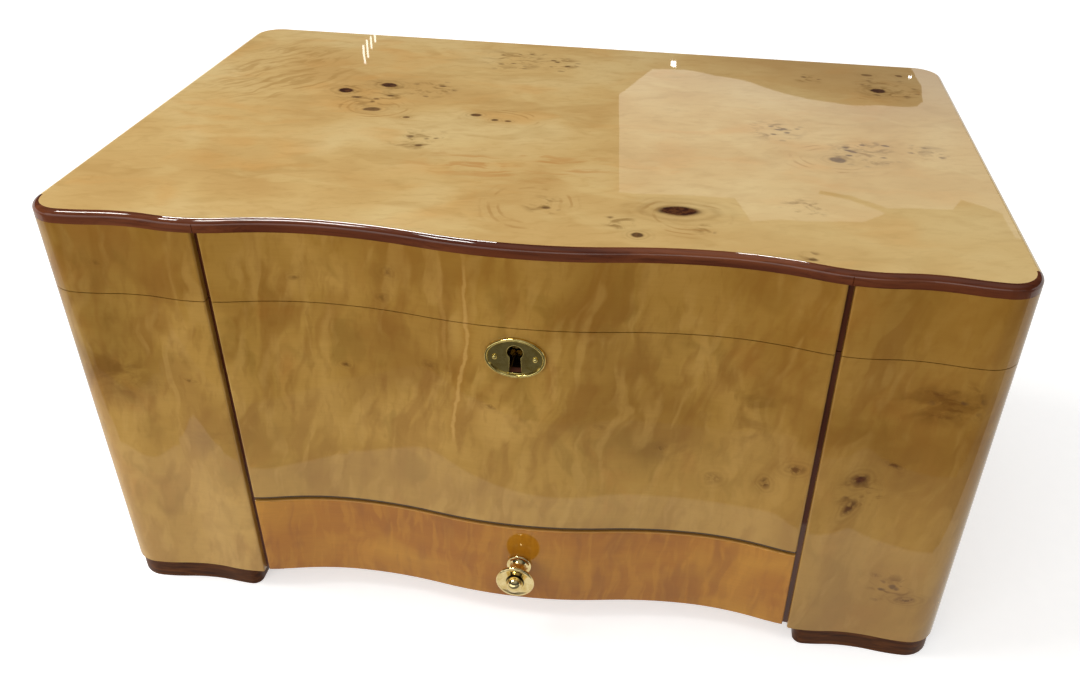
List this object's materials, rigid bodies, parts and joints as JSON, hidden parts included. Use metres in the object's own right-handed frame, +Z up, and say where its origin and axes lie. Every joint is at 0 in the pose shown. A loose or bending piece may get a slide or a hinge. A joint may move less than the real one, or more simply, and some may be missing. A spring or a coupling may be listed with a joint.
{
  "type": "lift-lid keepsake box",
  "caption": "Serpentine-fronted keepsake box in lacquered burl veneer: lift-up lid on stop hinges, box lock with brass escutcheon, and a drawer with a turned brass knob.",
  "frame": {"origin": "on the surface the box stands on, under the middle of its overall length and depth (knob and hinge knuckles included)", "axes": "+X to the right along the front, +Y to the back where the hinges are, +Z up; the knob points to -Y"},
  "size_m": [0.36, 0.2514, 0.1835],
  "materials": {
    "burl_veneer": "golden burl veneer under thick high-gloss lacquer",
    "dark_mahogany": "dark red-brown mahogany under high-gloss lacquer",
    "foot_wood": "dark brown stained wood, satin lacquer",
    "inner_wood": "plain light wood, thin satin lacquer",
    "suede_lining": "fine flocked lining on card",
    "polished_brass": "polished and lacquered brass",
    "screw_steel": "zinc plated steel"
  },
  "bodies": {
    "case": {"back_left_foot": "foot_wood", "back_panel": "burl_veneer", "back_right_foot": "foot_wood", "base_panel": "inner_wood", "escutcheon": "polished_brass", "escutcheon_pins": "polished_brass", "front_left_foot": "foot_wood", "front_panel": "burl_veneer", "front_right_foot": "foot_wood", "hinge_case_leaves": "polished_brass", "hinge_case_screws": "polished_brass", "hinge_pins": "polished_brass", "left_drawer_guide": "inner_wood", "left_front_post": "burl_veneer", "left_groove_strip": "dark_mahogany", "left_side_panel": "burl_veneer", "lock_cap": "polished_brass", "lock_case": "polished_brass", "lock_key_pin": "polished_brass", "lock_screws": "polished_brass", "right_drawer_guide": "inner_wood", "right_front_post": "burl_veneer", "right_groove_strip": "dark_mahogany", "right_side_panel": "burl_veneer", "well_floor": "inner_wood", "well_floor_pad": "suede_lining", "well_lining_back": "suede_lining", "well_lining_front": "suede_lining", "well_lining_left": "suede_lining", "well_lining_right": "suede_lining"},
    "lid": {"hinge_lid_leaves": "polished_brass", "hinge_lid_screws": "polished_brass", "lid_back_rail": "burl_veneer", "lid_edging_back": "burl_veneer", "lid_edging_front": "dark_mahogany", "lid_edging_left": "burl_veneer", "lid_edging_right": "burl_veneer", "lid_front_rail": "burl_veneer", "lid_left_groove_strip": "dark_mahogany", "lid_left_post": "burl_veneer", "lid_left_rail": "burl_veneer", "lid_lining_pad": "suede_lining", "lid_right_groove_strip": "dark_mahogany", "lid_right_post": "burl_veneer", "lid_right_rail": "burl_veneer", "lid_top_panel": "burl_veneer", "lid_wall_linings": "suede_lining", "link_plate": "polished_brass", "link_plate_screws": "polished_brass"},
    "drawer": {"drawer_back": "inner_wood", "drawer_bottom": "inner_wood", "drawer_felt": "suede_lining", "drawer_front": "burl_veneer", "drawer_knob": "polished_brass", "drawer_left_side": "inner_wood", "drawer_right_side": "inner_wood", "knob_screw": "screw_steel"},
    "lock_bolt": {"lock_bolt": "polished_brass"}
  },
  "joints": [
    {"name": "lid_hinge", "type": "hinge", "parent": "case", "child": "lid", "pos_m": [0, 0.12329, 0.15045], "axis": [-1, 0, 0], "range_deg": [0, 95]},
    {"name": "drawer_slide", "type": "slide", "parent": "case", "child": "drawer", "axis": [0, -1, 0], "range_m": [0, 0.15]},
    {"name": "bolt_slide", "type": "slide", "parent": "case", "child": "lock_bolt", "axis": [1, 0, 0], "range_m": [0, 0.0035]}
  ]
}
